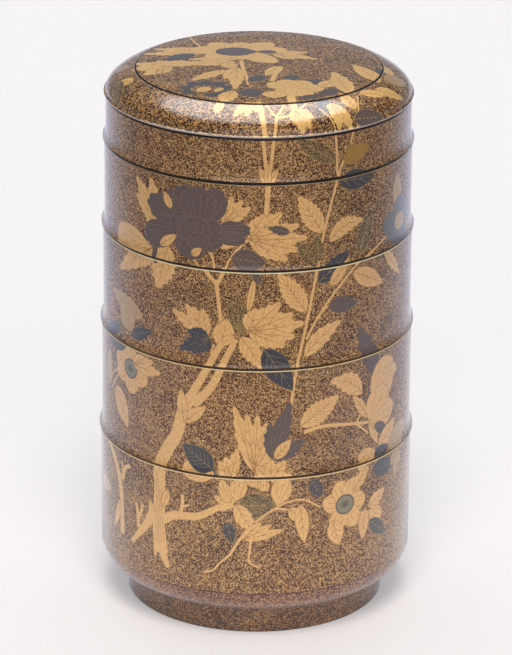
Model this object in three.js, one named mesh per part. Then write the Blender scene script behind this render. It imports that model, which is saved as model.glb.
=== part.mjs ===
// A round stacked food box of lacquered wood.
// A round-shouldered lid closes a shallow tray, and the tray stands on four tiers that grow deeper and a little wider downward.
// Each piece is turned, hollow and open, and the boss under it drops into the mouth of the piece below.
// Millimetres, +Z up, with the origin in the middle of the foot's underside.

import * as THREE from 'three';
import { mergeVertices } from 'three/addons/utils/BufferGeometryUtils.js';

// Heights, each from a piece's seat to its own rim
const lidHeight = 15.4;
const trayHeight = 25.3;
const upperTierHeight = 49.9;
const middleTierHeight = 56.8;
const lowerTierHeight = 63.8;
const baseTierHeight = 82.9;
const footHeight = 17.4;

// Outer walls: the tray's radius, what each piece below it adds, and what the lid, its panel and the foot stand in
const trayRadius = 85.5;
const radiusStep = 0.8;
const lidInset = 0.2;
const shoulderWidth = 16.4;
const lowerEdgeInset = 8.7;
const footInset = 15.7;

// Walls
const wallThickness = 4.5;
const floorThickness = 5.5;
const lidThickness = 4.6;
const footRingWidth = 6;
const footHollowDepth = 12;

// Joints between the pieces
const seatGap = 0.3;
const nestDepth = 3;
const nestClearance = 0.4;
const lidFlangeDepth = 4;
const lidFlangeWidth = 2.6;

// Lips, rims and roundings
const lipOverhang = 1.7;
const lidLipOverhang = 1.2;
const lipEdge = 1;
const lipCorner = 0.3;
const flareHeight = 6.5;
const lidFlareHeight = 2.6;
const rimRound = 1;
const floorFillet = 6;
const baseFillet = 13;
const panelStep = 0.6;
const footCorner = 0.6;
const baseCreaseHeight = 13.1;
const baseBulge = 2.4;

// How full the lid's shoulder is outward and upward, as powers of a quarter circle
const shoulderOutPower = 1.7;
const shoulderUpPower = 1.2;

const segments = 44;
const curveSteps = 3;
const shoulderSteps = 6;

// Finish of the lacquered wood
const lacquer = { color: 0x82643c, roughness: 0.22, metalness: 0.25 };
const lidLacquer = { ...lacquer, color: 0x8a6b42 };

// A solid of revolution about Z from a path of radius and height that starts and ends on the axis
function turned(name, path, finish) {
  const geometry = new THREE.LatheGeometry(path.getPoints(curveSteps), segments);
  geometry.rotateX(Math.PI / 2);
  geometry.deleteAttribute('normal');
  geometry.deleteAttribute('uv');
  const merged = withoutSlivers(mergeVertices(geometry, 1e-4));
  merged.computeVertexNormals();
  const mesh = new THREE.Mesh(merged, new THREE.MeshStandardMaterial(finish));
  mesh.name = name;
  return mesh;
}

// Drops the triangles that collapse to a line where the profile meets the axis
function withoutSlivers(geometry) {
  const corners = geometry.index.array;
  const kept = [];
  for (let i = 0; i < corners.length; i += 3) {
    const [a, b, c] = corners.slice(i, i + 3);
    if (a !== b && b !== c && c !== a) {
      kept.push(a, b, c);
    }
  }
  geometry.setIndex(kept);
  return geometry;
}

// The projecting lower lip of a piece and the flare that leads up into its wall
function addLip(path, wall, seatZ, overhang, flare) {
  const lip = wall + overhang;
  path.lineTo(lip - lipCorner, seatZ);
  path.lineTo(lip, seatZ + lipCorner);
  path.lineTo(lip, seatZ + lipEdge);
  path.quadraticCurveTo(wall, seatZ + lipEdge + (flare - lipEdge) / 3, wall, seatZ + flare);
}

// The rounded outer edge of a mouth, its flat rim, the inner wall and the floor
function addMouth(path, wall, rimZ, floorZ, fillet) {
  const inner = wall - wallThickness;
  path.lineTo(wall, rimZ - rimRound);
  path.quadraticCurveTo(wall, rimZ, wall - rimRound, rimZ);
  path.lineTo(inner, rimZ);
  path.lineTo(inner, floorZ + fillet);
  path.quadraticCurveTo(inner, floorZ, inner - fillet, floorZ);
  path.lineTo(0, floorZ);
}

// The radius of a boss or flange that drops into the mouth of a wall
function nestRadius(wallBelow) {
  return wallBelow - wallThickness - nestClearance;
}

function tier(name, wall, wallBelow, seatZ, height) {
  const bossZ = seatZ - nestDepth;
  const boss = nestRadius(wallBelow);
  const path = new THREE.Path();
  path.moveTo(0, bossZ);
  path.lineTo(boss, bossZ);
  path.lineTo(boss, seatZ);
  addLip(path, wall, seatZ, lipOverhang, flareHeight);
  addMouth(path, wall, seatZ + height, bossZ + floorThickness, floorFillet);
  return turned(name, path, lacquer);
}

// The deepest tier, with its rounded lower edge and a hollow foot ring
function baseTier(name, wall) {
  const creaseZ = footHeight + baseCreaseHeight;
  const midZ = footHeight + baseCreaseHeight / 2;
  const lowerEdge = wall - lowerEdgeInset;
  const midRadius = (wall + lowerEdge) / 2;
  const footRadius = wall - footInset;
  const hollow = footRadius - footRingWidth;
  const path = new THREE.Path();
  path.moveTo(0, footHollowDepth);
  path.lineTo(hollow, footHollowDepth);
  path.lineTo(hollow, 0);
  path.lineTo(footRadius - footCorner, 0);
  path.lineTo(footRadius, footCorner);
  path.lineTo(footRadius, footHeight - footCorner);
  path.lineTo(lowerEdge, footHeight);
  path.quadraticCurveTo(midRadius + baseBulge, midZ - baseBulge, wall, creaseZ);
  addMouth(path, wall, footHeight + baseTierHeight, footHollowDepth + floorThickness, baseFillet);
  return turned(name, path, lacquer);
}

// The shoulder's radius and height at a share of the way from the top panel down to the lip
function shoulderPoint(share, panelRadius, seatZ, topZ) {
  const angle = share * Math.PI / 2;
  const radius = panelRadius + shoulderWidth * Math.sin(angle) ** shoulderOutPower;
  const fromZ = seatZ + lidFlareHeight;
  return [radius, fromZ + (topZ - panelStep - fromZ) * Math.cos(angle) ** shoulderUpPower];
}

// The lid with its round shoulder and stepped flat panel, and the flange below that centres it in the tray's mouth
function lid(name, wallBelow, seatZ) {
  const topZ = seatZ + lidHeight;
  const wall = wallBelow - lidInset;
  const panelRadius = wall - shoulderWidth;
  const flange = nestRadius(wallBelow);
  const flangeInner = flange - lidFlangeWidth;
  const ceilingZ = topZ - lidThickness;
  const path = new THREE.Path();
  path.moveTo(0, ceilingZ);
  path.lineTo(panelRadius, ceilingZ);
  path.quadraticCurveTo(flangeInner, ceilingZ - lidThickness / 2, flangeInner, seatZ);
  path.lineTo(flangeInner, seatZ - lidFlangeDepth);
  path.lineTo(flange, seatZ - lidFlangeDepth);
  path.lineTo(flange, seatZ);
  addLip(path, wall, seatZ, lidLipOverhang, lidFlareHeight);
  for (let i = shoulderSteps - 1; i >= 0; i -= 1) {
    path.lineTo(...shoulderPoint(i / shoulderSteps, panelRadius, seatZ, topZ));
  }
  path.lineTo(panelRadius, topZ);
  path.lineTo(0, topZ);
  return turned(name, path, lidLacquer);
}

// The tiers above the base, from the bottom up
const tiers = [
  { name: 'lower_tier', height: lowerTierHeight },
  { name: 'middle_tier', height: middleTierHeight },
  { name: 'upper_tier', height: upperTierHeight },
  { name: 'top_tray', height: trayHeight },
];

const foodBox = new THREE.Group();
foodBox.name = 'stacked_food_box';

let wall = trayRadius + tiers.length * radiusStep;
let rimZ = footHeight + baseTierHeight;
foodBox.add(baseTier('base_tier', wall));
for (const { name, height } of tiers) {
  foodBox.add(tier(name, wall - radiusStep, wall, rimZ + seatGap, height));
  wall -= radiusStep;
  rimZ += seatGap + height;
}
foodBox.add(lid('lid', trayRadius, rimZ + seatGap));

export default foodBox;
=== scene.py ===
"""Looks of a round stacked food box: dark lacquer full of gold flecks, with sprays of leaves and flowers.

Every turned piece is one closed skin. Its outline is cut open into a flat plan, and the spray's motifs are
laid on the plan as flush outlines. The plan is then wrapped back round the axis.
"""

import cmath
import math

import bpy
from mathutils import Matrix, Vector
from mathutils.geometry import delaunay_2d_cdt


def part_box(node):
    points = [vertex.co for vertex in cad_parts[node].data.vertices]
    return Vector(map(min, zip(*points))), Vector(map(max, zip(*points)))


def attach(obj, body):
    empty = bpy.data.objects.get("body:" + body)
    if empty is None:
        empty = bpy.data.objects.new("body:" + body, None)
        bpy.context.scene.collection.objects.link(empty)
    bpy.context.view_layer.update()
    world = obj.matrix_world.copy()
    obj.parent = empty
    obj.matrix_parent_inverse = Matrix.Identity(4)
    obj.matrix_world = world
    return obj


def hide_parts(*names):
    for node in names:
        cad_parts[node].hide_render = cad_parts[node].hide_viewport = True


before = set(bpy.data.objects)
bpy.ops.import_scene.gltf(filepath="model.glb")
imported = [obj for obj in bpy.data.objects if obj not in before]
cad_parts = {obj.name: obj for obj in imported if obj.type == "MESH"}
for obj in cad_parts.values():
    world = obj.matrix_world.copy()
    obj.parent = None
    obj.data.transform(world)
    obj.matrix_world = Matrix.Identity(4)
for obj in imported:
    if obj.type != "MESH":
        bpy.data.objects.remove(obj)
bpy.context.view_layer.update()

MM = 0.001

# What the solids' boxes don't tell, in millimetres
NEST_DEPTH = 3.0
LIP_OVERHANG = 1.7
LID_LIP_OVERHANG = 1.2
LIP_EDGE = 1.0
LIP_CORNER = 0.3
FLARE_HEIGHT = 6.5
LID_FLARE_HEIGHT = 2.6
WALL = 4.5
FLOOR = 5.5
NEST_CLEARANCE = 0.4
RADIUS_STEP = 0.8
RIM_ROUND = 1.0
FLOOR_FILLET = 6.0
BASE_FILLET = 13.0
FOOT_HEIGHT = 17.4
FOOT_INSET = 15.7
FOOT_RING = 6.0
FOOT_HOLLOW = 12.0
FOOT_CORNER = 0.6
LOWER_EDGE_INSET = 8.7
CREASE_HEIGHT = 13.1
CREASE_DEPTH = 0.3
CREASE_BREADTH = 0.7
BASE_BULGE = 2.4
SHOULDER_WIDTH = 16.4
PANEL_STEP = 0.6
PANEL_DOME = 0.9
LID_THICKNESS = 4.6
LID_FLANGE_DEPTH = 4.0
LID_FLANGE_WIDTH = 2.6
SHOULDER_OUT_POWER = 1.7
SHOULDER_UP_POWER = 1.2

# How finely the skins are cut
COLUMNS = 192
ROW_HEIGHT = 4.0
CURVE_STEPS = 6
SHOULDER_STEPS = 14
SHARP_DEGREES = 32.0

# The walls' plan is measured round a cylinder of this radius
PLAN_RADIUS = 88.0

# The finishes that carry motifs
GROUNDS = ("ground", "lid_ground")

# Widths of drawn lines in millimetres
VEIN = 0.32
EDGE_LINE = 0.32

# How much of its slope a flare's shading keeps, so that it doesn't catch the light from above
FLARE_SLOPE = 0.4

# The fine groove round the lid's panel: the breadth and depth of its inner bevel, how far from the panel its
# floor, painted as shade, and its edge, painted as a highlight, end, how much that edge rises, and how far
# out the shoulder begins
GROOVE_LIP = 0.5
GROOVE_BEVEL = 0.15
GROOVE_FLOOR = 0.45
GROOVE_EDGE = 0.9
GROOVE_RISE = 0.05
SHOULDER_START = 1.0


# Outlines of the turned pieces

class Outline:
    """A turned outline in radius and height, with the finish and the plan's length of each stretch."""

    def __init__(self, radius, height):
        self.points = [(radius, height)]
        self.finishes = []
        self.steps = []

    def line(self, radius, height, finish, upright=False):
        """A straight stretch. The plan of an upright one is as long as its height."""
        last_radius, last_height = self.points[-1]
        length = math.hypot(radius - last_radius, height - last_height)
        self.points.append((radius, height))
        self.finishes.append(finish)
        self.steps.append(abs(height - last_height) if upright else length)

    def curve(self, via, end, finish, upright=False):
        """A round stretch that leaves towards via and arrives at end."""
        start = self.points[-1]
        for i in range(1, CURVE_STEPS + 1):
            t = i / CURVE_STEPS
            weights = ((1 - t) ** 2, 2 * t * (1 - t), t * t)
            place = [sum(w * p[k] for w, p in zip(weights, (start, via, end))) for k in (0, 1)]
            self.line(*place, finish, upright)

    def lip(self, wall, seat, overhang, flare, edge):
        """The projecting lip with its edge's finish, and the flare that leads up into the wall."""
        lip = wall + overhang
        flare_via = seat + LIP_EDGE + (flare - LIP_EDGE) / 3
        self.line(lip - LIP_CORNER, seat, "shadow_line")
        self.line(lip, seat + LIP_CORNER, "shadow_line", upright=True)
        self.line(lip, seat + LIP_EDGE, edge, upright=True)
        self.curve((wall, flare_via), (wall, seat + flare), "ground", True)

    def mouth(self, wall, rim, floor, fillet, gilt):
        """The rounded rim with its gilt outer edge, the inner wall and the floor.

        The gilt gives a finish, its breadth on the wall, and how many of the rim's steps stay dark above it,
        as painted shade.
        """
        inner = wall - WALL
        finish, breadth, dark_steps = gilt
        self.line(wall, rim - RIM_ROUND - breadth, "ground", upright=True)
        self.line(wall, rim - RIM_ROUND, finish, upright=True)
        self.curve((wall, rim), (wall - RIM_ROUND, rim), "shadow_line", True)
        self.finishes[-CURVE_STEPS:-dark_steps] = [finish] * (CURVE_STEPS - dark_steps)
        self.line(inner, rim, "shadow_line")
        self.line(inner, floor + fillet, "inside")
        self.curve((inner, floor), (inner - fillet, floor), "inside")
        self.line(0, floor, "inside")


def tier_outline(wall, seat, rim, edge, gilt):
    boss = wall + RADIUS_STEP - WALL - NEST_CLEARANCE
    outline = Outline(0, seat - NEST_DEPTH)
    outline.line(boss, seat - NEST_DEPTH, "inside")
    outline.line(boss, seat, "inside")
    outline.lip(wall, seat, LIP_OVERHANG, FLARE_HEIGHT, edge)
    outline.mouth(wall, rim, seat - NEST_DEPTH + FLOOR, FLOOR_FILLET, gilt)
    return outline


def base_outline(wall, rim, gilt):
    crease = FOOT_HEIGHT + CREASE_HEIGHT
    foot = wall - FOOT_INSET
    lower_edge = wall - LOWER_EDGE_INSET
    middle = (wall + lower_edge) / 2
    outline = Outline(0, FOOT_HOLLOW)
    outline.line(foot - FOOT_RING, FOOT_HOLLOW, "inside")
    outline.line(foot - FOOT_RING, 0, "inside")
    outline.line(foot - FOOT_CORNER, 0, "shadow_line")
    outline.line(foot, FOOT_CORNER, "shadow_line")
    # The foot's finish is darkened as painted shade under the base's overhang
    outline.line(foot, FOOT_HEIGHT - FOOT_CORNER, "foot")
    outline.line(lower_edge, FOOT_HEIGHT, "foot")
    bulge = (middle + BASE_BULGE, FOOT_HEIGHT + CREASE_HEIGHT / 2 - BASE_BULGE)
    # The bowl's flecked finish is tinted purple as a painted reflection of the floor
    outline.curve(bulge, (wall - CREASE_DEPTH, crease - CREASE_BREADTH), "bowl", True)
    # The crease is painted dark red as the shade in it
    outline.line(wall, crease, "crease_line", upright=True)
    outline.mouth(wall, rim, FOOT_HOLLOW + FLOOR, BASE_FILLET, gilt)
    return outline


def lid_outline(wall, wall_below, seat, top):
    panel = wall - SHOULDER_WIDTH
    flange = wall_below - WALL - NEST_CLEARANCE
    flange_inner = flange - LID_FLANGE_WIDTH
    ceiling = top - LID_THICKNESS
    shoulder_foot = seat + LID_FLARE_HEIGHT
    outline = Outline(0, top)
    outline.curve((panel / 2, top), (panel - GROOVE_LIP, top - PANEL_DOME), "lid_ground")
    groove = top - PANEL_STEP - PANEL_DOME
    outline.line(panel, top - PANEL_DOME - GROOVE_BEVEL, "shadow_line")
    outline.line(panel, groove, "shadow_line")
    outline.line(panel + GROOVE_FLOOR, groove, "shadow_line")
    # The groove's outer edge is painted pale as a highlight
    outline.line(panel + GROOVE_EDGE, groove + GROOVE_RISE, "groove_edge")
    for i in range(1, SHOULDER_STEPS + 1):
        angle = i / SHOULDER_STEPS * math.pi / 2
        out = (SHOULDER_WIDTH - SHOULDER_START) * math.sin(angle) ** SHOULDER_OUT_POWER
        rise = (groove - shoulder_foot) * max(math.cos(angle), 0) ** SHOULDER_UP_POWER
        outline.line(panel + SHOULDER_START + out, shoulder_foot + rise, "lid_ground")
    lip = wall + LID_LIP_OVERHANG
    flare_via = seat + LIP_EDGE + (LID_FLARE_HEIGHT - LIP_EDGE) / 3
    outline.curve((wall, flare_via), (lip, seat + LIP_EDGE), "lid_ground")
    # The lip's edge is painted pale as a highlight on its lit bead
    outline.line(lip, seat + LIP_CORNER, "lid_lip_line")
    outline.line(lip - LIP_CORNER, seat, "shadow_line")
    outline.line(flange, seat, "shadow_line")
    outline.line(flange, seat - LID_FLANGE_DEPTH, "inside")
    outline.line(flange_inner, seat - LID_FLANGE_DEPTH, "inside")
    outline.line(flange_inner, seat, "inside")
    outline.curve((flange_inner, ceiling - LID_THICKNESS / 2), (panel, ceiling), "inside")
    outline.line(0, ceiling, "inside")
    return outline


# Plans: a point is a complex number, with the real part to the right and the imaginary part upward

class WallPlan:
    """The wall cut open at the back: across is the way round, up is the height."""

    def place(self, turn, along):
        return complex(turn * PLAN_RADIUS, along)

    def read(self, point):
        return point.real / PLAN_RADIUS, point.imag

    def edge(self, rows):
        """The numbers of the plan's corners among the grid's points."""
        last = COLUMNS + (rows - 1) * (COLUMNS + 1)
        return [0, COLUMNS, last, last - COLUMNS]


class LidPlan:
    """The lid rolled out flat, as seen from above: the way along is the distance from the middle."""

    def place(self, turn, along):
        return along * cmath.exp(1j * (turn - math.pi / 2))

    def read(self, point):
        return cmath.phase(point * 1j) if abs(point) > 1e-6 else 0.0, abs(point)

    def edge(self, rows):
        """The numbers of the outermost ring's points among the grid's points."""
        first = (rows - 1) * (COLUMNS + 1)
        return list(range(first, first + COLUMNS))


# The skin: plan to mesh

def alongs_of(outline, plan):
    """The way along the outline to each of its points. On a wall plan it is the height wherever motifs go."""
    alongs = [0.0]
    for step in outline.steps:
        alongs.append(alongs[-1] + step)
    if isinstance(plan, WallPlan):
        first = outline.finishes.index("ground")
        lift = outline.points[first][1] - alongs[first]
        alongs = [along + lift for along in alongs]
    return alongs


def stretch_normals(outline, side):
    """The normals at the start and at the end of each stretch, shared where the outline bends softly."""
    flat = []
    for (r0, z0), (r1, z1), finish in zip(outline.points, outline.points[1:], outline.finishes):
        slope = FLARE_SLOPE if finish == "ground" else 1
        flat.append(side * Vector((z1 - z0, slope * (r0 - r1))).normalized())
    starts, ends = list(flat), list(flat)
    for i in range(len(flat) - 1):
        if flat[i].angle(flat[i + 1]) < math.radians(SHARP_DEGREES):
            shared = (flat[i] + flat[i + 1]).normalized()
            ends[i] = starts[i + 1] = shared
    return starts, ends


def stretch_at(alongs, along):
    """The stretch that holds a way along, and the share of it that is passed."""
    low, high = 0, len(alongs) - 2
    while low < high:
        middle = (low + high + 1) // 2
        if alongs[middle] <= along:
            low = middle
        else:
            high = middle - 1
    span = alongs[low + 1] - alongs[low]
    return low, min(max((along - alongs[low]) / span, 0), 1)


def row_alongs(outline, alongs):
    """Every row of the grid: the outline's own points, and steps between them on the upright walls."""
    rows = []
    for i, finish in enumerate(outline.finishes):
        rise = abs(outline.points[i + 1][1] - outline.points[i][1])
        upright = abs(outline.points[i + 1][0] - outline.points[i][0]) < 0.01
        cuts = math.ceil(rise / ROW_HEIGHT) if finish in GROUNDS and upright else 1
        for k in range(cuts):
            rows.append(alongs[i] + (alongs[i + 1] - alongs[i]) * k / cuts)
    return rows + [alongs[-1]]


def lay_out(outline, plan, alongs, art):
    """The plan's points and triangles, the numbers of the shapes that cover each triangle, and the motifs."""
    rows = row_alongs(outline, alongs)
    points, edges = [], []
    for row in rows:
        first = len(points)
        for i in range(COLUMNS + 1):
            points.append(plan.place(-math.pi + 2 * math.pi * i / COLUMNS, row))
        if abs(points[first] - points[first + 1]) > 1e-6:
            edges += [(first + i, first + i + 1) for i in range(COLUMNS)]
    ground = [i for i, finish in enumerate(outline.finishes) if finish in GROUNDS]
    motifs = art.within(plan, alongs[ground[0]], alongs[ground[-1] + 1])
    shapes = [plan.edge(len(rows))]
    for _, motif in motifs:
        shapes.append(list(range(len(points), len(points) + len(motif))))
        points += motif
    flat = [Vector((p.real, p.imag)) for p in points]
    cut = delaunay_2d_cdt(flat, edges, shapes, 0, 1e-5, True)
    return [complex(*p) for p in cut[0]], cut[2], cut[5], motifs


def turned_place(outline, alongs, turn, along):
    """Where a point of the plan lies on the wrapped skin, in metres."""
    i, share = stretch_at(alongs, along)
    (r0, z0), (r1, z1) = outline.points[i], outline.points[i + 1]
    radius, height = r0 + (r1 - r0) * share, z0 + (z1 - z0) * share
    return radius * math.sin(turn) * MM, -radius * math.cos(turn) * MM, height * MM


def weld(places):
    """The places without repeats, and the number that each place has among them."""
    index, welded, numbers = {}, [], []
    for place in places:
        key = tuple(round(c * 1e6) for c in place)
        if key not in index:
            index[key] = len(welded)
            welded.append(place)
        numbers.append(index[key])
    return welded, numbers


def wrap(name, outline, plan, side, art):
    """The closed skin of one turned piece, with the art's motifs flush in its ground."""
    alongs = alongs_of(outline, plan)
    points, triangles, covers, motifs = lay_out(outline, plan, alongs, art)
    spots = [plan.read(p) for p in points]
    welded, numbers = weld([turned_place(outline, alongs, *spot) for spot in spots])
    starts, ends = stretch_normals(outline, side)
    finish_names, faces, finish_of, normals = [], [], [], []
    for corners, cover in zip(triangles, covers):
        face = [numbers[c] for c in corners]
        if len(set(face)) < 3 or 0 not in cover:
            continue
        i, _ = stretch_at(alongs, sum(spots[c][1] for c in corners) / 3)
        finish = outline.finishes[i]
        if finish in GROUNDS and max(cover) > 0:
            finish = motifs[max(cover) - 1][0]
        if finish not in finish_names:
            finish_names.append(finish)
        faces.append(face)
        finish_of.append(finish_names.index(finish))
        for turn, along in (spots[c] for c in corners):
            share = (along - alongs[i]) / (alongs[i + 1] - alongs[i])
            n = starts[i].lerp(ends[i], min(max(share, 0), 1)).normalized()
            normals.append((n[0] * math.sin(turn), -n[0] * math.cos(turn), n[1]))
    mesh = bpy.data.meshes.new(name)
    mesh.from_pydata(welded, [], faces)
    mesh.polygons.foreach_set("use_smooth", [True] * len(faces))
    mesh.polygons.foreach_set("material_index", finish_of)
    mesh.normals_split_custom_set(normals)
    for finish in finish_names:
        mesh.materials.append(finish_material(finish))
    piece = bpy.data.objects.new(name, mesh)
    bpy.context.scene.collection.objects.link(piece)
    return piece


# Drawing motifs

def spline(points, steps=6):
    """A smooth line through the points."""
    points = [complex(*p) for p in points]
    if len(points) == 2:
        return points
    padded = [2 * points[0] - points[1], *points, 2 * points[-1] - points[-2]]
    line = []
    for a, b, c, d in zip(padded, padded[1:], padded[2:], padded[3:]):
        for i in range(steps):
            t = i / steps
            line.append(0.5 * (2 * b + (c - a) * t + (2 * a - 5 * b + 4 * c - d) * t * t
                               + (3 * b - a - 3 * c + d) * t ** 3))
    return line + [points[-1]]


def ribbon(line, start_width, end_width):
    """The outline of a band that follows a line and changes its width evenly."""
    left, right = [], []
    for i, point in enumerate(line):
        ahead = line[min(i + 1, len(line) - 1)] - line[max(i - 1, 0)]
        width = start_width + (end_width - start_width) * i / (len(line) - 1)
        across = 0.5j * width * ahead / abs(ahead)
        left.append(point + across)
        right.append(point - across)
    return right + left[::-1]


# The finish that a motif is outlined and veined in, where it isn't "vein"
LINES = {"slate": "dull_line", "blue": "dull_line", "pale_blue": "dull_line", "deep": "olive"}


class Art:
    """Flat motifs on a plan in millimetres, the later over the earlier."""

    def __init__(self):
        self.shapes = []
        self.shifts = (0,)
        self.mirror = 1

    def add(self, finish, outline):
        """One outline at every shift. A mirrored one is reversed, so that it runs the same way round."""
        placed = [complex(self.mirror * p.real, p.imag) for p in outline][::self.mirror]
        self.shapes += [(finish, [p + shift for p in placed]) for shift in self.shifts]

    def within(self, plan, low, high):
        """The shapes that reach into a piece's ground."""
        found = []
        for finish, shape in self.shapes:
            alongs = [plan.read(p)[1] for p in shape]
            if max(alongs) > low and min(alongs) < high:
                found.append((finish, shape))
        return found

    def stem(self, points, start_width, end_width=None, finish="gold"):
        self.add(finish, ribbon(spline(points), start_width, end_width or start_width * 0.8))

    def leaf(self, base, tip, width, finish="gold", line=None, teeth=0, bow=0.0, veins=3):
        """A pointed leaf, plain or toothed, outlined and veined."""
        line = line or LINES.get(finish, "vein")
        base, tip = complex(*base), complex(*tip)
        trim = EDGE_LINE * (tip - base) / abs(tip - base)
        self.add(line, leaf_outline(base, tip, width, teeth, bow))
        self.add(finish, leaf_outline(base + trim, tip - 2 * trim, width - 2 * EDGE_LINE, teeth, bow))
        self.veins(base, tip, width, line, bow, veins)

    def leaves(self, places, *tones, **settings):
        """Leaves of one kind, each placed by its base, tip and width."""
        for place in places:
            self.leaf(*place, *tones, **settings)

    def split(self, base, tips, width, finish="gold", line=None, teeth=3):
        """A leaf of several pointed lobes from one base, joined near it."""
        line = line or LINES.get(finish, "vein")
        self.lobes(base, tips, width, line, teeth, 0)
        self.lobes(base, tips, width, finish, teeth, EDGE_LINE)
        for tip in tips:
            self.veins(complex(*base), complex(*tip), width, line, 0, 2)

    def lobes(self, base, tips, width, finish, teeth, inset):
        base = complex(*base)
        for tip in tips:
            tip = complex(*tip)
            trim = inset * (tip - base) / abs(tip - base)
            self.add(finish, leaf_outline(base + trim, tip - 2 * trim, width - 2 * inset, teeth, 0))

    def petal(self, base, tip, width, finish="gold", line=None, scallops=3, rays=3):
        """A broad round petal with a scalloped end and fine lines that fan out."""
        line = line or LINES.get(finish, "vein")
        base, tip = complex(*base), complex(*tip)
        trim = EDGE_LINE * (tip - base) / abs(tip - base)
        self.add(line, petal_outline(base, tip, width, scallops))
        self.add(finish, petal_outline(base + trim, tip - trim, width - 2 * EDGE_LINE, scallops))
        axis = tip - base
        for i in range(rays):
            lean = (i - (rays - 1) / 2) / max(rays, 2) * width / abs(axis)
            reach = [complex(x, lean * x ** 0.6) for x in (0.2, 0.45, 0.78)]
            self.add(line, ribbon([base + axis * p for p in reach], VEIN * 0.4, VEIN))

    def petals(self, places, *tones, **settings):
        """Petals of one kind, each placed by its base, tip and width."""
        for place in places:
            self.petal(*place, *tones, **settings)

    def veins(self, base, tip, width, line, bow, count):
        axis = tip - base
        half = width / abs(axis) / 2
        middle = [base + axis * complex(x, bow * 4 * x * (1 - x)) for x in (0.02, 0.3, 0.6, 0.93)]
        self.add(line, ribbon(middle, VEIN * 1.3, VEIN * 0.6))
        for i in range(count):
            x = 0.14 + 0.6 * i / count
            root = complex(x, bow * 4 * x * (1 - x))
            for side in (-1, 1):
                end = root + complex(0.2, side * half * 0.72 * math.sin(math.pi * (x + 0.15) ** 0.8))
                self.add(line, ribbon([base + axis * root, base + axis * end], VEIN, VEIN * 0.5))

    def disc(self, centre, width, height, finish, count=20):
        centre = complex(*centre)
        turns = [2 * math.pi * i / count for i in range(count)]
        around = [complex(width / 2 * math.cos(turn), height / 2 * math.sin(turn)) for turn in turns]
        self.add(finish, [centre + step for step in around])

    def blossom(self, centre, tips, width, heart):
        """An open flower: petals round a grey-green heart with a dark ring and dot."""
        for tip in tips:
            self.petal(centre, tip, width)
        self.disc(centre, heart * 2, heart * 1.9, "slate")
        self.disc(centre, heart * 1.75, heart * 1.6, "heart")
        self.disc(centre, heart * 0.9, heart * 0.8, "heart_ring")
        self.disc(centre, heart * 0.45, heart * 0.4, "slate")


def leaf_outline(base, tip, width, teeth, bow):
    axis = tip - base
    half = max(width, 0.4) / abs(axis) / 2
    count = 2 * teeth + 5 if teeth else 9
    sides = []
    for side in (-1, 1):
        points = []
        for i in range(1, count):
            x = i / count
            reach = half * math.sin(math.pi * x ** 0.8) ** 0.85
            if teeth and i % 2:
                reach *= 0.8
            elif teeth:
                x += 0.5 / count
            points.append(complex(x, side * reach + bow * 4 * x * (1 - x)))
        sides.append(points)
    local = [0j] + sides[0] + [1 + 0j] + sides[1][::-1]
    return [base + axis * p for p in local]


def petal_outline(base, tip, width, scallops):
    """An egg shape from a narrow base, with a wavy round end."""
    axis = tip - base
    half = width / abs(axis) / 2
    count, spread = 6 * scallops + 4, math.radians(128)
    depth = 0.07 if scallops < 5 else 0.12
    points = [0j]
    for i in range(count + 1):
        share = i / count
        angle = -spread + 2 * spread * share
        wave = 1 - depth * (1 - abs(math.sin(math.pi * scallops * share))) * (1 - abs(2 * share - 1) ** 3)
        points.append(complex(0.56 + 0.44 * wave * math.cos(angle), half * wave * math.sin(angle)))
    return [base + axis * p for p in points]


# The spray on the walls, in millimetres across from the front's middle and in height

def paint_tall_stems(art):
    """Two stems that come down from the lid, join in a calyx and go on as one."""
    art.stem([(2, 303), (3.4, 290), (4.6, 277)], 2.2)
    art.stem([(9.5, 303), (8, 290), (6.8, 277)], 2.0)
    for tip in ((0.5, 281.5), (11.5, 280.5), (5.5, 284)):
        art.leaf((5.2, 271), tip, 4.6, veins=0)
    art.stem([(5.8, 273), (5.2, 262), (4.2, 250)], 3.2, 2.4)


def paint_dark_peony(art):
    """The dark peony on the upper tier with the gold leaves behind it."""
    art.split((-59, 242), [(-78, 266), (-66, 268), (-78, 256), (-71, 246)], 11)
    art.split((-19, 248), [(-14, 265), (-8, 263), (-3.5, 259)], 8)
    art.petal((-64, 226), (-99, 229), 17, scallops=2)
    art.split((-64, 228), [(-94, 207), (-84, 211), (-75, 214)], 13)
    art.leaf((-53, 231), (-60, 204.5), 19, teeth=4, veins=4)
    art.leaf((-25, 236), (-7, 239), 7)
    art.stem([(-63, 236), (-62.5, 227), (-61.5, 219)], 5, 2.5, "slate")
    art.petals([
        ((-44, 246), (-68, 256), 16), ((-46, 240), (-71, 234), 17), ((-25, 245), (-3.5, 245), 11),
        ((-27, 241), (-6, 239), 8), ((-36, 242), (-42, 226), 20), ((-31, 244), (-22, 233), 17),
        ((-38, 244), (-55, 263), 17), ((-37, 246), (-45, 268), 18), ((-29, 246), (-19.5, 264), 11),
        ((-29, 247), (-22, 268.5), 17), ((-34, 244), (-35, 268.5), 22), ((-38, 238), (-50, 250), 16),
        ((-33, 236), (-22, 249), 15), ((-35, 233), (-37, 251), 19), ((-34, 230), (-34, 242), 14),
    ], "slate", "slate_line", scallops=6, rays=4)
    art.leaf((-51, 252.5), (-56, 262), 6, teeth=2, veins=0)
    art.leaves([((-59, 230), (-47, 238.5), 6), ((-38, 228), (-31.5, 233), 5)], veins=1)


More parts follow.
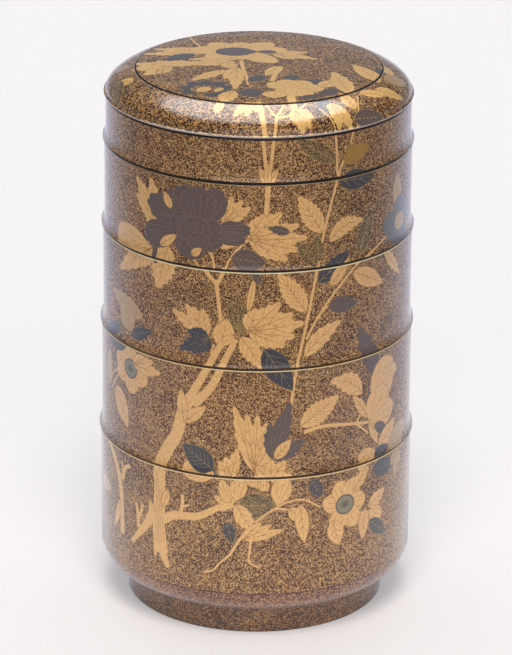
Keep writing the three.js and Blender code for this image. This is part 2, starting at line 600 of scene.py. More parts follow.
def paint_middle_sprays(art):
    """The split leaves and twigs between the peony and the thin stem."""
    art.stem([(-38, 227), (-32, 222.5)], 0.8)
    art.stem([(-27, 232), (-25, 227), (-23.5, 221)], 1.5)
    art.stem([(-4, 241), (-11, 234), (-16, 227), (-18.5, 220)], 1.4)
    art.leaf((-15, 229), (5.5, 226.5), 13, "slate", "gilt_line", veins=5)
    art.split((-5, 240), [(4, 255), (14, 256), (24, 248), (29, 240), (24, 233), (17.5, 227.5)], 11)
    art.leaf((18.5, 243.5), (5.5, 247), 6, "slate", "gilt_line", teeth=2, veins=0)
    art.stem([(-31, 223), (-27, 218), (-23, 214)], 3, 2)
    art.stem([(-18.5, 223), (-20, 218), (-22.5, 213)], 2.6, 2)
    art.stem([(-23, 216), (-21.5, 203), (-20, 190)], 2.4)
    art.split((-10, 184), [(-16.5, 206), (-10.5, 208), (-5.5, 206), (-2.5, 198)], 5, "deep", teeth=0)
    art.leaf((-5, 198), (-1.2, 219.5), 4.4, veins=0)
    art.leaf((2, 214.5), (-3, 223), 5, "slate", "gilt_line", veins=0)
    art.split((-27.5, 182.5), [(-50, 195), (-41.5, 200), (-37, 199)], 9)
    art.leaf((-28, 182.5), (-31, 199), 8, teeth=3)
    art.split((-27, 182), [(-45, 172), (-37, 171), (-40, 184), (-32, 172)], 9, "blue")
    art.leaf((-20, 177), (-16.5, 194.5), 13)
    art.split((-5, 187), [(0, 201), (13.5, 204), (21, 197), (27.5, 191), (22, 183), (16.5, 178)], 12)
    art.leaf((-9, 184), (3.5, 165.5), 12.5, teeth=4)
    art.stem([(-14, 184), (-9, 186), (-4, 188)], 1.0, 0.7, "vein")


def paint_thin_stem(art):
    """The long thin stem with its leaves to the right of the middle."""
    art.leaf((46, 281), (21, 297), 11, "deep", teeth=4, veins=6)
    art.leaf((49.5, 281), (70, 286.5), 10.5, "dull_gold")
    art.stem([(58, 303), (57, 296), (55, 290)], 1.4)
    art.stem([(50.5, 281), (46, 272)], 1.4)
    art.stem([(44.5, 303), (46, 285), (46, 272), (43.5, 262), (40, 249), (36, 232), (34, 221), (30, 200),
              (28, 190), (25, 176), (22.5, 165), (20.5, 152), (19.5, 143)], 1.4, 1.7)
    art.leaves([((34, 223), (22, 238), 9), ((35, 225), (34, 241), 8)], "deep", teeth=4, veins=5)
    art.leaf((37.5, 241.5), (22.5, 264.5), 13.5, teeth=6, veins=4)
    art.leaf((41, 236), (65, 245), 11.5, teeth=4, bow=0.14, veins=4)
    art.leaf((62, 225), (71, 250), 12, "deep", "pale_olive", teeth=4, veins=6)
    art.leaf((46.5, 270), (74, 268), 12, "blue", "gilt_line")
    art.leaf((34, 213), (55, 229), 12, "blue", "gilt_line", teeth=3)
    art.leaf((28, 197), (11.5, 221), 14, teeth=5, veins=6)
    art.stem([(86, 230), (76, 226), (62, 221), (52, 213), (43, 204), (34, 192), (28, 181)], 1.2, 1.5)
    art.stem([(34, 193), (41, 199)], 1.0)
    art.leaf((41, 199), (61, 197.5), 10, "slate")
    art.leaf((57, 216), (82, 203.5), 11.5, veins=5)
    art.leaf((42, 210), (54.5, 225), 7.5)
    art.leaf((82, 223), (100, 203.5), 8, teeth=3)
    art.leaf((26.5, 170.5), (49.5, 189.5), 11.5, teeth=3, bow=0.06)
    art.leaf((4, 177), (20.5, 151.5), 15, "blue", "gilt_line", veins=4)
    art.leaf((77, 150), (62, 182.5), 14, "slate", teeth=2)


def paint_side_flower(art):
    """The blue-grey flower at the right of the upper tier."""
    art.leaf((98, 245), (96, 263), 13, "pale_gold", teeth=2)
    art.petals([
        ((98, 234), (82, 237), 15), ((99, 232), (91, 223), 14), ((102, 232), (106, 220), 15),
        ((102, 236), (114, 240), 15), ((101, 237), (101, 250), 16),
    ], "pale_blue")
    art.disc((101, 234.5), 13, 10, "pale_gold")


def paint_tree(art):
    """The tree whose limbs cross from the middle tier down to its foot on the base."""
    art.stem([(-19, 180), (-23.5, 172), (-27.5, 164), (-33, 154), (-38.5, 144)], 3.4, 5)
    art.stem([(-11.5, 182), (-15.5, 174), (-20, 164), (-26, 152), (-36, 141)], 3, 5.4)
    art.stem([(-24, 178), (-26, 172)], 1.2)
    art.stem([(-37, 146), (-43, 134), (-46, 122), (-52, 112), (-56.5, 102), (-57.5, 92)], 6.5, 8.6)
    art.leaves([((-42, 132), (-43.5, 150), 7), ((-42, 130), (-27.5, 141.5), 7.5)], veins=1)
    art.stem([(-57.5, 98), (-57, 84), (-57.8, 70), (-57.3, 58), (-56, 48)], 7.4, 9.6)
    art.stem([(-55.6, 53), (-53.6, 45), (-51, 40)], 6.5, 2.2)
    art.stem([(-59, 58), (-60, 50), (-60.2, 45)], 4.5, 1.5)
    art.leaves([((-55, 76), (-51, 88), 6), ((-61, 66), (-64.5, 79), 5)], veins=0)
    art.stem([(-61, 72), (-67, 62), (-73, 55), (-79.5, 47.5)], 6.6, 2.4)
    art.stem([(-73.5, 58), (-74, 66), (-75.5, 73)], 3, 1.8)
    art.stem([(-74, 63), (-71, 69), (-70, 73)], 2.4, 1.6)
    art.stem([(-55, 68), (-48, 72.5), (-40, 74), (-33, 75), (-26, 78.5), (-20, 82), (-12, 84)], 5.4, 3)
    art.stem([(-43.5, 74), (-42, 80), (-42, 86.5)], 2.4, 2)
    art.stem([(-42, 79), (-37.5, 81)], 1.6)
    for i in range(4):
        bark = [(-59.2 + 1.2 * i, 96 - 3 * i), (-59.6 + 1.3 * i, 76), (-59.4 + 1.8 * i, 54)]
        art.stem(bark, 0.3, 0.3, "vein")


def paint_left_tree(art):
    """The smaller trunk at the left of the base and the flower and leaves above it."""
    art.stem([(-106, 100), (-97, 91), (-91.5, 80), (-89.5, 66), (-89, 49)], 3.6, 4.4)
    art.stem([(-89, 82), (-86, 90), (-81, 93)], 3.4, 2)
    art.stem([(-88, 87), (-89.5, 93)], 2)
    art.leaf((-90, 70), (-98, 50.5), 6, veins=1)
    art.leaf((-122, 71), (-102, 71), 9, "pale_gold")
    tips = [(-97, 156), (-96, 145), (-80, 136.5), (-66.5, 147), (-82, 166), (-92, 165)]
    art.blossom((-81.5, 151.5), tips, 13, 6.2)
    art.split((-79, 155), [(-56.5, 155), (-62, 161), (-68, 162)], 9)
    art.leaf((-97, 137), (-84, 114.5), 13.5)
    art.stem([(-90, 148), (-98, 140), (-104, 133)], 1.2)
    art.stem([(-93, 148), (-101, 143), (-109, 134)], 1.2)
    art.leaf((-108, 133), (-107, 157), 8, "pale_gold")
    art.leaf((-71, 184.5), (-104, 192), 13, "pale_gold", teeth=5)
    art.leaf((-81, 173.5), (-92, 190), 17, "pale_gold", teeth=3)
    art.leaves([((-82, 171), (-64, 178.5), 9), ((-92, 172), (-112, 167), 9)], "blue", teeth=2)
    art.leaf((-86, 163), (-108, 161), 8, "blue")


def paint_low_leaves(art):
    """The leaves and petals in the middle of the lower tier and of the base."""
    art.petal((-21, 101), (-43, 103), 13, scallops=2)
    art.leaf((-23.5, 103.5), (-42.5, 117), 14, "blue", "gilt_line", veins=5)
    art.stem([(-24, 105), (-21, 99)], 1.2, 0.8, "slate")
    art.split((-14, 99), [(-10, 118.5), (-17, 113), (-21, 110)], 8)
    art.split((-1, 104), [(-12.5, 143.5), (-5, 139), (1, 138.5), (6, 134), (9, 121)], 10)
    art.leaf((24.5, 130), (48.5, 145.5), 14.5, teeth=7, veins=7)
    art.split((10, 111), [(19, 145.5), (13, 136), (7.5, 133), (27.5, 122)], 10, "slate", teeth=2)
    art.leaf((10.5, 111.5), (20, 123.5), 7)
    art.split((8, 99), [(17, 111), (9, 112), (0, 108), (20.5, 102), (-6, 98)], 9)
    art.split((-14, 84), [(-24, 89), (-22, 80), (-12, 92)], 5, teeth=0)
    art.petals([
        ((-15, 85), (-19, 99), 7), ((-11, 86), (-8, 101), 10), ((12, 83.5), (16.5, 101), 12),
        ((4, 100), (5, 92.5), 7),
    ])
    art.leaf((-16, 74), (-12.5, 60.5), 8, "blue", "gilt_line", teeth=2, veins=2)
    art.leaf((-9.5, 84), (11.5, 84.5), 15, "deep", veins=8)
    art.leaf((-11, 85), (-1, 67.5), 11, teeth=2)
    art.split((-7, 63.5), [(17, 69.5), (4, 75), (10, 73)], 6, teeth=0)
    art.stem([(-4, 70), (-10, 61), (-14, 54), (-20, 48), (-23, 44), (-29, 41.5)], 1.6, 0.9)
    art.stem([(-2, 66), (-3, 56), (-3, 50), (2.5, 46.5)], 1.5, 0.9)
    art.stem([(0, 74), (6, 79), (12, 83)], 1.2)
    art.stem([(11, 82.5), (19, 86), (28, 86), (37, 80.5)], 1.2)
    art.stem([(11, 82), (17, 81.5), (21, 79)], 1.2)
    art.leaves([((18.5, 81.5), (29, 72.5), 8), ((25, 84), (28, 59.5), 8.5)])
    art.leaf((31, 98), (38, 86.5), 9.5, "blue", "gilt_line", teeth=2)


def paint_right_flowers(art):
    """The branch and flowers at the right of the lower tier and of the base."""
    art.stem([(27, 126.5), (38, 128.5), (52, 127), (70, 124)], 2.2, 1.8)
    art.stem([(61, 125.5), (64, 132)], 1.4)
    art.stem([(61, 125), (70, 117.5)], 1.4)
    art.leaf((65, 142.5), (42.5, 155), 14, teeth=3, bow=-0.12, veins=4)
    art.leaf((70.5, 126.5), (58, 143), 8, teeth=2)
    art.split((78, 122), [(69, 143), (66, 139)], 5, "slate", teeth=0)
    art.petal((76, 130), (88, 160), 23, scallops=2)
    art.petals([((80, 146), (97, 150), 11), ((72, 120), (84, 143), 22), ((70, 124), (94, 128), 17)])
    art.leaf((71, 126), (78.5, 108), 6.5)
    art.leaf((75, 121), (88, 114), 7, "slate")
    art.leaf((79, 105.5), (97, 119), 11)
    art.petal((77, 105), (61.5, 104), 9)
    art.leaf((74, 101), (88, 105.5), 8, "blue")
    art.leaf((88, 103), (113, 112), 14, "pale_gold")
    art.leaf((73, 95), (95, 92), 13, "blue", teeth=2)
    art.split((97, 99), [(96, 82), (103, 90), (91, 91)], 7, "pale_gold")
    tips = [(38.5, 83), (48, 94), (61, 94), (68, 79), (61, 64.5), (45.5, 64)]
    art.blossom((53, 79), tips, 12.5, 6.4)
    art.leaf((58, 86), (70, 98.5), 9, teeth=2)
    art.leaves([((45, 71), (49.5, 54.5), 11), ((67.5, 73), (66, 53.5), 8.5)])
    art.stem([(62, 72), (68, 70), (75, 69)], 1.0)
    art.leaf((70, 72.5), (85, 80), 10, teeth=2)
    art.petal((70, 70), (82.5, 64.5), 10)
    art.leaf((71, 64.5), (87, 51.5), 9, "blue", "gilt_line")
    art.petal((66, 104), (64, 96), 8)


WALL_PLANTS = (
    paint_tall_stems, paint_middle_sprays, paint_dark_peony, paint_thin_stem, paint_side_flower,
    paint_left_tree, paint_low_leaves, paint_tree, paint_right_flowers,
)
BACK_PLANTS = (paint_tall_stems, paint_middle_sprays, paint_thin_stem, paint_low_leaves, paint_tree)


def wall_art():
    """The front's spray, and a plainer one that faces the other way at the back, where the plan is cut."""
    art = Art()
    for paint in WALL_PLANTS:
        paint(art)
    art.mirror = -1
    art.shifts = (-math.pi * PLAN_RADIUS, math.pi * PLAN_RADIUS)
    for paint in BACK_PLANTS:
        paint(art)
    return art


# The spray on the lid, in millimetres across and back from its middle

def paint_lid_gold_flower(art):
    """The wide gold flower with a dark heart at the back of the panel, and the leaves round it."""
    art.stem([(-33, 34), (-37, 46), (-39.5, 58), (-36, 76), (-25, 90)], 1.2, 1.0)
    art.split((-26, 24), [(-66, 21), (-60, 31), (-50, 33)], 11)
    art.leaf((-36, 21), (-53, 8), 12, "blue", teeth=2)
    art.split((-48, -4), [(-70, 3), (-72, -8), (-64, -19), (-57, 8), (-50, 7)], 13)
    art.leaves([((-34, 2), (-58, 2), 13), ((-12, 4), (-44, 2), 12)], teeth=3)
    art.leaf((-10, 11), (-40, 10), 9, teeth=2)
    for tip, width in (
        ((-40, 30), 16), ((-28, 43), 15), ((-10, 44), 18), ((8, 43), 16), ((16, 30), 16),
        ((10, 4), 15), ((-8, 10), 14), ((-30, 12), 15),
    ):
        art.petal((-12, 25), tip, width)
    art.split((8, 22), [(33, 12), (28, 25), (20, 11)], 9)
    art.petal((0, 25), (-25, 25), 17, "slate", scallops=4, rays=4)
    art.petal((-2, 25), (10, 24.5), 7, "slate")


def paint_lid_dark_flower(art):
    """The dark flower with its gold petals, and the stems and leaves in the middle of the panel."""
    art.stem([(-10, 8), (-9, -6), (-7, -22), (-6, -36)], 2.4, 1.4)
    art.leaf((-18, -10), (-37.5, -29.5), 10, teeth=2)
    art.split((-12, -5), [(-13, -45), (-19, -27), (-22, 2)], 10)
    art.leaf((12, -2), (3.5, -21), 9)
    art.stem([(12, -4), (9, -18), (7, -30)], 2.6, 3)
    for left in (-48, -53, -56):
        art.stem([(left, -8), (left - 1, -22), (left + 3, -37)], 0.9, 0.5, "olive")
    for base, tip in (((3, -20), (-6, -32)), ((14, -28), (22, -19)), ((24, -33), (36, -27))):
        art.leaf(base, tip, 9, "blue")
    for turn in range(-2, 6):
        tip = complex(-29, -44) + 15 * cmath.exp(1j * math.radians(40 * turn + 10))
        art.petal((-29, -44), (tip.real, tip.imag), 9, "blue")
    art.disc((-29, -45), 17, 15, "lid_ground")
    art.petals([((-34, -50), (-27, -41), 8), ((-24, -50), (-20, -42), 5)])


def paint_lid_near_flower(art):
    """The gold flower at the front of the panel, and the leaves to its right."""
    art.leaf((-5, -43), (-2, -59), 14, "slate")
    for tip, width in (
        ((5, -33), 14), ((14, -27), 14), ((27, -29), 15), ((36, -42), 15), ((28, -55), 14), ((12, -52), 13),
    ):
        art.petal((18, -42), tip, width)
    art.stem([(18, -42), (17.5, -56), (18.5, -69)], 5, 4.4)
    art.petal((8, -60), (9, -47.5), 14)
    art.leaf((-14, -47), (-20, -68), 12, teeth=2)
    art.leaf((34, -40), (42, -25), 10)
    art.leaf((34, -54), (44, -40), 9, "slate")
    art.leaf((50, -50), (41, -11), 13, teeth=2, veins=5)
    art.leaf((67, -27), (52, 4), 11, veins=4)
    art.leaf((66, -3), (70, -14), 7, "blue")
    art.leaf((22, -59), (35, -53), 7, "slate")


def paint_shoulder(art):
    """What of the lid's spray runs over its shoulder, down to the lip."""
    art.split((-4, -66), [(-14, -79.5), (-7, -80), (-1, -77)], 7)
    art.stem([(0, -66), (2, -80), (4.2, -94)], 3, 2.6)
    art.stem([(3, -68), (7, -76), (10, -80)], 0.9, 1.3)
    art.stem([(14, -68), (12, -75), (10, -80), (9.3, -94)], 0.9, 1.8)
    art.stem([(10, -80), (16, -78.5), (20, -75)], 1.6, 1.0)
    art.stem([(18.5, -66), (20, -76)], 4, 3)
    art.stem([(26, -66), (20, -76)], 1.2)
    art.split((20, -73), [(30, -84), (26, -88), (20, -83), (31, -77)], 8)
    art.leaf((35, -71), (37, -58), 9, "blue", "gilt_line")
    art.split((40, -62), [(55, -76), (47, -79), (42, -70)], 9)
    art.leaf((54, -62), (44, -50), 10, teeth=2)
    art.stem([(54, -49), (55.5, -60), (57.5, -73)], 0.9)
    art.stem([(33, -69), (40, -74), (46, -82)], 0.9)
    art.leaf((54, -69), (73, -55), 11, "slate", "olive", veins=5)
    art.leaf((64, -36), (83, -30), 10, teeth=2)
    art.leaf((74, -10), (69, 5), 8)
    art.leaf((55, -46), (72, -37), 8, teeth=2)
    art.leaf((70, -20), (84, -6), 12, "pale_gold")
    art.leaf((-70, -25), (-80, -16), 8)
    art.leaf((-78, -16), (-81, -40), 7, "deep")
    art.leaf((-74, 0), (-82, 10), 9, "pale_gold")
    art.leaf((-20, -66), (-24, -76), 6)
    art.leaves([((62, 44), (72, 56), 10), ((20, 72), (30, 86), 10)], teeth=2)
    art.leaf((-58, 52), (-66, 64), 10, "blue", "gilt_line", teeth=2)


# The lid's copies of finishes: its blue is a lighter grey, and its gold is a brighter copy, painted light
# that makes up for how dim gold looks on the lid seen at a slant
LID_TONES = {"gold": "lid_gold", "blue": "lid_blue"}


def lid_art():
    art = Art()
    for paint in (paint_lid_gold_flower, paint_lid_dark_flower, paint_lid_near_flower, paint_shoulder):
        paint(art)
    art.shapes = [(LID_TONES.get(finish, finish), shape) for finish, shape in art.shapes]
    return art


# Finishes

def linear(*levels):
    """A screen colour's red, green and blue, from 0 to 255, as the linear values that the shader takes."""
    shares = [level / 255 for level in levels]
    return [share / 12.92 if share < 0.0404 else ((share + 0.055) / 1.055) ** 2.4 for share in shares] + [1]


class Finish:
    """A node material with one Principled shader."""

    def __init__(self, name, **sockets):
        self.material = bpy.data.materials.new(name)
        self.material.use_nodes = True
        self.nodes = self.material.node_tree.nodes
        self.links = self.material.node_tree.links
        self.shader = self.nodes["Principled BSDF"]
        self.place = self.nodes.new("ShaderNodeTexCoord").outputs["Object"]
        for socket, value in sockets.items():
            self.shader.inputs[socket.replace("_", " ")].default_value = value

    def node(self, kind, inputs=None, **settings):
        node = self.nodes.new(kind)
        for key, value in settings.items():
            setattr(node, key, value)
        for key, value in (inputs or {}).items():
            self.set_input(node, key, value)
        return node

    def set_input(self, node, key, value):
        """Links an input to another node's output, or sets it to a plain value."""
        if isinstance(value, bpy.types.NodeSocket):
            self.links.new(value, node.inputs[key])
        else:
            node.inputs[key].default_value = value

    def feed(self, socket, value):
        self.links.new(value, self.shader.inputs[socket])

    def noise(self, scale, detail=2.0, roughness=0.5):
        inputs = {"Vector": self.place, "Scale": scale, "Detail": detail, "Roughness": roughness}
        return self.node("ShaderNodeTexNoise", inputs).outputs["Fac"]

    def ramp(self, value, stops):
        """A colour ramp from (position, colour) stops."""
        node = self.node("ShaderNodeValToRGB", {"Fac": value})
        ramp = node.color_ramp
        while len(ramp.elements) < len(stops):
            ramp.elements.new(0.5)
        for element, (position, colour) in zip(ramp.elements, stops):
            element.position = position
            element.color = colour
        return node.outputs["Color"]

    def weigh(self, *terms):
        """The sum of values, each times its weight."""
        total = 0.0
        for value, weight in terms:
            inputs = {0: value, 1: weight, 2: total}
            total = self.node("ShaderNodeMath", inputs, operation="MULTIPLY_ADD").outputs[0]
        return total

    def share_of(self, value, start, end):
        """How far a value has come from start to end, from 0 to 1."""
        inputs = {"Value": value, "From Min": start, "From Max": end}
        return self.node("ShaderNodeMapRange", inputs).outputs[0]

    def mix(self, share, first, second):
        """One colour over another. The mix node's colours are its inputs 6 and 7 and its output 2."""
        node = self.node("ShaderNodeMix", data_type="RGBA")
        for key, value in ((0, share), (6, first), (7, second)):
            self.set_input(node, key, value)
        return node.outputs[2]


GLOSS = {
    "Coat_Weight": 1.0,
    "Coat_Roughness": 0.13,
    "Coat_IOR": 1.55,
    "Specular_IOR_Level": 0.2,
    "Sheen_Weight": 0.3,
    "Sheen_Roughness": 0.3,
    "Sheen_Tint": (0.72, 0.78, 1.0, 1.0),
}
FLECK_SIZE = 0.5 * MM


def speckled(name, dark, middle, bright, reddish, size=FLECK_SIZE, reach=1.0, sheen=0.3):
    """Flecks of gold powder of uneven size, sunk in dark lacquer that turns reddish in places."""
    finish = Finish(name, Metallic=0.3, Roughness=0.5, **{**GLOSS, "Sheen_Weight": sheen})
    cells = finish.node("ShaderNodeTexVoronoi", {"Vector": finish.place, "Scale": 1 / size})
    tone = finish.node("ShaderNodeSeparateColor", {"Color": cells.outputs["Color"]}).outputs[0]
    fine = finish.node("ShaderNodeTexVoronoi", {"Vector": finish.place, "Scale": 1.9 / size})
    grain = finish.node("ShaderNodeSeparateColor", {"Color": fine.outputs["Color"]}).outputs[1]
    clumps = finish.noise(0.3 / size, 2.0, 0.6)
    drift = finish.noise(45.0)
    spread = finish.weigh((tone, 0.5), (grain, 0.28), (clumps, 0.34), (0.56, -1.0))
    level = finish.weigh((spread, reach), (drift, 0.24), (0.54, 1.0))
    warmth = finish.ramp(finish.noise(30.0, 3.0, 0.6), [(0.38, middle), (0.62, reddish)])
    sparse = finish.ramp(level, [(0.42, (0, 0, 0, 1)), (0.62, (1, 1, 1, 1))])
    dense = finish.ramp(level, [(0.65, (0, 0, 0, 1)), (0.88, (1, 1, 1, 1))])
    colour = finish.mix(dense, finish.mix(sparse, dark, warmth), bright)
    finish.feed("Base Color", colour)
    bump = finish.node("ShaderNodeBump", {"Height": level, "Strength": 0.25, "Distance": 0.05 * MM})
    finish.feed("Coat Normal", bump.outputs["Normal"])
    return finish.material


def plain(name, base, shade, metallic=0.0, roughness=0.35, gloss=1.0, sheen=0.3):
    """A drawn colour with slight unevenness."""
    coat = {**GLOSS, "Coat_Weight": gloss, "Sheen_Weight": sheen}
    finish = Finish(name, Metallic=metallic, Roughness=roughness, **coat)
    finish.feed("Base Color", finish.ramp(finish.noise(700.0, 3.0, 0.7), [(0.35, shade), (0.65, base)]))
    return finish.material


# Speckled finishes: the dark lacquer, the usual flecks, the brightest flecks and the reddish tinge, as seen
# on a screen, and what else differs
SPECKLED = {
    "ground": ((34, 12, 6), (90, 48, 23), (216, 172, 112), (102, 44, 24), {"reach": 1.2}),
    "lid_ground": (
        (22, 7, 4), (72, 37, 17), (206, 158, 96), (84, 35, 17),
        {"size": 1.3 * FLECK_SIZE, "reach": 1.5, "sheen": 0.05},
    ),
    # The foot: the same kind of flecked lacquer, darkened as painted shade under the base's overhang
    "foot": ((20, 7, 5), (54, 26, 16), (172, 128, 84), (58, 24, 17), {"reach": 1.2}),
    # The bowl: flecked lacquer tinted purple as a painted reflection of the floor
    "bowl": ((44, 18, 18), (98, 58, 50), (198, 154, 114), (100, 48, 46), {"reach": 1.2}),
    "deep": ((34, 20, 11), (84, 60, 36), (160, 134, 88), (84, 54, 33), {}),
}

# Plain finishes: the colour and its shade, as seen on a screen, and what else differs
PLAIN = {
    "inside": ((30, 20, 16), (22, 14, 12), {}),
    "gold": ((236, 190, 126), (214, 164, 102), {"metallic": 0.3, "roughness": 0.42}),
    # The lid's gold, painted brighter than the walls' gold to make up for how dim gold looks on the lid seen
    # at a slant
    "lid_gold": ((242, 198, 124), (226, 174, 100), {"metallic": 0.2, "roughness": 0.45, "sheen": 0.1}),
    "pale_gold": ((196, 162, 118), (180, 146, 100), {"metallic": 0.25, "roughness": 0.4}),
    "dull_gold": ((176, 134, 62), (150, 110, 48), {"metallic": 0.25, "roughness": 0.4}),
    "vein": ((180, 132, 76), (154, 108, 58), {"metallic": 0.3}),
    "olive": ((176, 152, 96), (150, 126, 76), {"metallic": 0.3}),
    "pale_olive": ((190, 174, 130), (166, 150, 108), {"metallic": 0.3}),
    "slate": ((100, 83, 80), (84, 70, 68), {}),
    "slate_line": ((124, 108, 88), (108, 94, 76), {}),
    "gilt_line": ((152, 128, 84), (126, 104, 68), {"metallic": 0.2}),
    "blue": ((65, 65, 73), (51, 51, 59), {}),
    "pale_blue": ((104, 104, 110), (88, 88, 94), {}),
    "lid_blue": ((80, 80, 80), (64, 62, 64), {}),
    "dull_line": ((118, 104, 84), (100, 86, 66), {}),
    "heart": ((142, 134, 104), (120, 114, 88), {}),
    "heart_ring": ((118, 112, 88), (100, 94, 74), {}),
    # Gilt rims, their colour raised towards white as a painted highlight where the rim is lit from above
    "bright_rim": ((255, 240, 196), (250, 226, 172), {"roughness": 0.3, "sheen": 0}),
    "rim_line": ((250, 222, 166), (236, 202, 140), {"roughness": 0.3, "sheen": 0}),
    "thin_rim": ((190, 166, 126), (160, 132, 92), {"metallic": 0.2, "roughness": 0.3}),
    "lip_line": ((88, 62, 30), (62, 42, 22), {"metallic": 0.3, "roughness": 0.4, "gloss": 0.1, "sheen": 0}),
    "dark_lip": ((34, 22, 16), (24, 15, 11), {"gloss": 0.3, "sheen": 0.1}),
    # The lid's lip edge, painted pale as a highlight on its lit bead
    "lid_lip_line": ((190, 180, 176), (160, 150, 146), {"metallic": 0.1, "roughness": 0.3}),
    "shadow_line": ((18, 11, 8), (12, 7, 5), {"gloss": 0.1, "sheen": 0.1}),
    # The crease between the base's bowl and its wall, painted dark red as the shade in it
    "crease_line": ((74, 24, 20), (56, 18, 16), {}),
    # The groove's outer edge, painted pale as a highlight
    "groove_edge": ((186, 164, 146), (160, 136, 116), {}),
}

MATERIALS = {}


def finish_material(name):
    """The material of a finish, made when it is first asked for."""
    if name not in MATERIALS:
        make, table = (speckled, SPECKLED) if name in SPECKLED else (plain, PLAIN)
        *tones, settings = table[name]
        MATERIALS[name] = make(name, *[linear(*tone) for tone in tones], **settings)
    return MATERIALS[name]


# The object

# The finish of each tier's lip, and its rim's gilt: a finish, its breadth on the wall and the steps kept
# dark.
# On every rim but the tray's the gilt is raised as a painted highlight, and the steps kept dark are painted
# shade of the gap under the lip above
BASE_GILT = ("rim_line", 0.15, 4)
SEAMS = {
    "lower_tier": ("lip_line", ("rim_line", 0.1, 4)),
    "middle_tier": ("lip_line", ("bright_rim", 0.1, 4)),
    "upper_tier": ("dark_lip", ("thin_rim", 0.15, 5)),
    "top_tray": ("dark_lip", ("dark_lip", 0.1, 2)),
}


def add_piece(node, outline, plan, side, art):
    """One skin in place of a solid."""
    piece = wrap("lacquered_" + node, outline, plan, side, art)
    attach(piece, "root")
    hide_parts(node)


def heights(node):
    """The lowest and the highest point of a solid, in millimetres."""
    low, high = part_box(node)
    return low[2] / MM, high[2] / MM


def widest(node):
    """The largest radius of a solid, in millimetres."""
    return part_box(node)[1][0] / MM


def add_box():
    """The base, the tiers and the tray on it, and the lid."""
    art = wall_art()
    base_wall = widest("lower_tier") - LIP_OVERHANG + RADIUS_STEP
    add_piece("base_tier", base_outline(base_wall, heights("base_tier")[1], BASE_GILT), WallPlan(), 1, art)
    for node, (edge, gilt) in SEAMS.items():
        low, rim = heights(node)
        outline = tier_outline(widest(node) - LIP_OVERHANG, low + NEST_DEPTH, rim, edge, gilt)
        add_piece(node, outline, WallPlan(), 1, art)
    tray_wall = widest("top_tray") - LIP_OVERHANG
    lid_wall = widest("lid") - LID_LIP_OVERHANG
    low, top = heights("lid")
    add_piece("lid", lid_outline(lid_wall, tray_wall, low + LID_FLANGE_DEPTH, top), LidPlan(), -1, lid_art())


# Floor, light and camera, in metres

# Where the paper begins to darken and where it ends, to the sides and to the front
PAPER_SIDES = 0.42, 0.85
PAPER_FRONT = 0.24, 0.52
FLOOR_REACH = 14.0

# The camera's lens and sensor in millimetres, its place, and its downward tilt and roll in degrees
LENS = 236.2
SENSOR = 36.0
CAMERA_PLACE = (-0.00044, -2.2906, 1.015)
CAMERA_TILT = 20.54
CAMERA_ROLL = 0.49


def add_floor():
    """White paper round the box and far behind it, on a darker floor for the lacquer to reflect."""
    finish = Finish("pale_floor", Roughness=0.9, Specular_IOR_Level=0.1)
    parts = finish.node("ShaderNodeSeparateXYZ", {"Vector": finish.place})
    across = finish.node("ShaderNodeMath", {0: parts.outputs["X"]}, operation="ABSOLUTE").outputs[0]
    aside = finish.share_of(finish.weigh((across, 1.0), (parts.outputs["Y"], -0.5)), *PAPER_SIDES)
    ahead = finish.share_of(finish.weigh((parts.outputs["Y"], -1.0)), *PAPER_FRONT)
    away = finish.node("ShaderNodeMath", {0: aside, 1: ahead}, operation="MAXIMUM").outputs[0]
    white, cool, dim = linear(250, 247, 245), linear(229, 233, 250), linear(150, 144, 142)
    paper = finish.ramp(across, [(0.2, white), (0.36, cool)])
    finish.feed("Base Color", finish.mix(away, paper, dim))
    mesh = bpy.data.meshes.new("floor")
    corners = [(FLOOR_REACH * x, FLOOR_REACH * y, 0) for x, y in ((-1, -1), (1, -1), (1, 1), (-1, 1))]
    mesh.from_pydata(corners, [], [(0, 1, 2, 3)])
    mesh.materials.append(finish.material)
    floor = bpy.data.objects.new("floor", mesh)
    bpy.context.scene.collection.objects.link(floor)


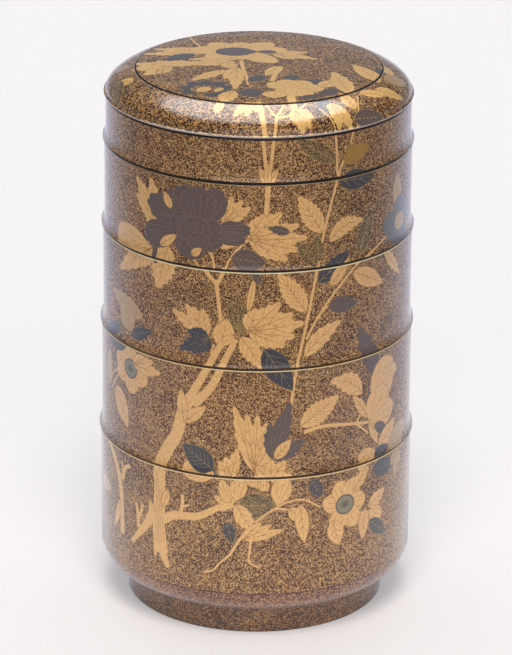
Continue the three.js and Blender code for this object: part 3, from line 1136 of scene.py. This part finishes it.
def add_sun(name, elevation, azimuth, spread, strength, colour, shadow=True, diffuse=True, glossy=True):
    """A wide soft light from far away, so that the floor stays even.

    The light may cast shadows or not, and may be left out of what is seen by matt or by glossy reflection.
    """
    light = bpy.data.lights.new(name, "SUN")
    light.angle = math.radians(spread)
    light.energy = strength
    light.color = colour
    light.use_shadow = shadow
    lamp = bpy.data.objects.new(name, light)
    rise, turn = math.radians(elevation), math.radians(azimuth)
    towards = Vector((math.sin(turn) * math.cos(rise), -math.cos(turn) * math.cos(rise), math.sin(rise)))
    lamp.rotation_euler = (-towards).to_track_quat("-Z", "Y").to_euler()
    lamp.visible_diffuse = diffuse
    lamp.visible_glossy = glossy
    bpy.context.scene.collection.objects.link(lamp)


def add_world():
    """Soft surroundings that are bright near the horizon and dimmer above."""
    world = bpy.data.worlds.new("studio")
    world.use_nodes = True
    nodes, links = world.node_tree.nodes, world.node_tree.links
    height = nodes.new("ShaderNodeSeparateXYZ")
    links.new(nodes.new("ShaderNodeTexCoord").outputs["Generated"], height.inputs["Vector"])
    dimming = nodes.new("ShaderNodeValToRGB")
    links.new(height.outputs["Z"], dimming.inputs["Fac"])
    stops = ((0.22, (0.33, 0.34, 0.38, 1)), (0.34, (0.09, 0.10, 0.12, 1)))
    for element, (position, colour) in zip(dimming.color_ramp.elements, stops):
        element.position = position
        element.color = colour
    links.new(dimming.outputs["Color"], nodes["Background"].inputs["Color"])
    bpy.context.scene.world = world


def add_camera():
    """A long lens from the front, a little above the box."""
    camera_data = bpy.data.cameras.new("camera")
    camera_data.lens = LENS
    camera_data.sensor_width = SENSOR
    camera_data.clip_end = 50.0
    camera = bpy.data.objects.new("camera", camera_data)
    pitch = Matrix.Rotation(math.radians(90 - CAMERA_TILT), 4, "X")
    roll = Matrix.Rotation(math.radians(CAMERA_ROLL), 4, "Z")
    camera.matrix_world = Matrix.Translation(CAMERA_PLACE) @ pitch @ roll
    bpy.context.scene.collection.objects.link(camera)
    bpy.context.scene.camera = camera


add_box()
add_floor()
add_world()
add_sun("overhead", 70, 186, 56, 1.54, (0.91, 0.96, 1.03), shadow=False)
add_sun("reflector", 74, 186, 58, 2.1, (0.97, 0.96, 1.0), shadow=False, diffuse=False)
add_sun("front_high", 63, 0, 24, 1.14, (1.05, 0.97, 0.9), glossy=False)
add_sun("front_low", 12, 4, 70, 1.28, (1.0, 0.96, 0.92), shadow=False)
add_camera()
bpy.context.scene.view_settings.view_transform = "Standard"

bpy.context.view_layer.update()
